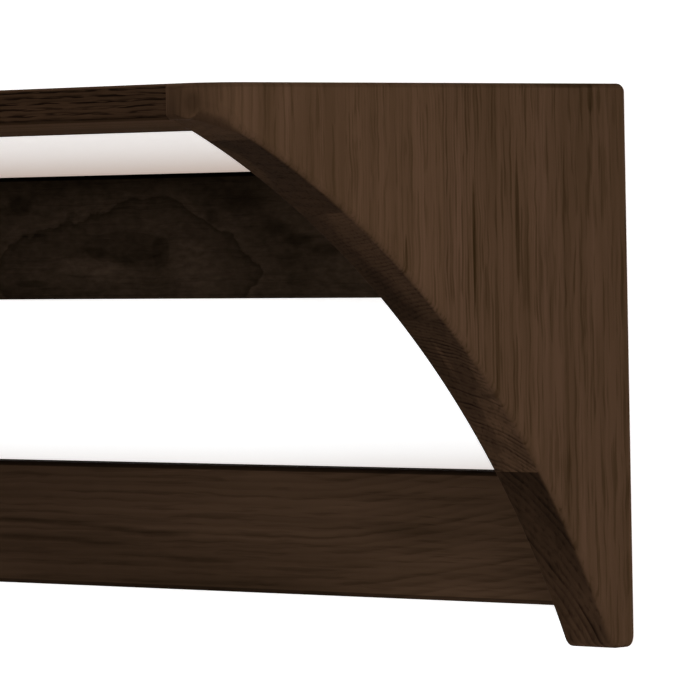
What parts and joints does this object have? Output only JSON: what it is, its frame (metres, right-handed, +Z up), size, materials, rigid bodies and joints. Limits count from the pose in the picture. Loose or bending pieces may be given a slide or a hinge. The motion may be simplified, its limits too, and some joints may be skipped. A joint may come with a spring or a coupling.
{
  "type": "wall luggage rack",
  "caption": "Wall luggage rack in dark-stained solid oak: a shelf board between two arched side brackets, with two flat rails against the wall below it.",
  "frame": {"origin": "the wall plane, at the middle of the upper rail's back face", "axes": "+X along the wall to the right as seen from the room, +Y into the wall, +Z up"},
  "size_m": [0.8, 0.314, 0.3],
  "materials": {
    "bracket_oak": "dark-stained oak, oiled, straight upright grain",
    "shelf_oak": "dark-stained oak, oiled, grain along the wall",
    "upper_rail_oak": "dark-stained oak, oiled, strongly figured",
    "lower_rail_oak": "dark-stained oak, oiled, wavy grain",
    "dowel_beech": "plain turned beech",
    "zinc_plate": "bright zinc plate",
    "screw_steel": "yellow zinc plate"
  },
  "bodies": {
    "root": {"left_bracket_stave_1": "bracket_oak", "left_bracket_stave_2": "bracket_oak", "left_bracket_stave_3": "bracket_oak", "left_bracket_stave_4": "bracket_oak", "left_bracket_stave_5": "bracket_oak", "right_bracket_stave_1": "bracket_oak", "right_bracket_stave_2": "bracket_oak", "right_bracket_stave_3": "bracket_oak", "right_bracket_stave_4": "bracket_oak", "right_bracket_stave_5": "bracket_oak", "shelf_stave_1": "shelf_oak", "shelf_stave_2": "shelf_oak", "shelf_stave_3": "shelf_oak", "shelf_stave_4": "shelf_oak", "upper_rail": "upper_rail_oak", "lower_rail": "lower_rail_oak", "shelf_dowel_left_1": "dowel_beech", "shelf_dowel_left_2": "dowel_beech", "shelf_dowel_left_3": "dowel_beech", "shelf_dowel_left_4": "dowel_beech", "upper_rail_dowel_left_top": "dowel_beech", "upper_rail_dowel_left_bottom": "dowel_beech", "lower_rail_dowel_left_top": "dowel_beech", "lower_rail_dowel_left_bottom": "dowel_beech", "hanger_plate_left": "zinc_plate", "hanger_screw_left_top": "screw_steel", "hanger_screw_left_bottom": "screw_steel", "shelf_dowel_right_1": "dowel_beech", "shelf_dowel_right_2": "dowel_beech", "shelf_dowel_right_3": "dowel_beech", "shelf_dowel_right_4": "dowel_beech", "upper_rail_dowel_right_top": "dowel_beech", "upper_rail_dowel_right_bottom": "dowel_beech", "lower_rail_dowel_right_top": "dowel_beech", "lower_rail_dowel_right_bottom": "dowel_beech", "hanger_plate_right": "zinc_plate", "hanger_screw_right_top": "screw_steel", "hanger_screw_right_bottom": "screw_steel"}
  },
  "joints": []
}
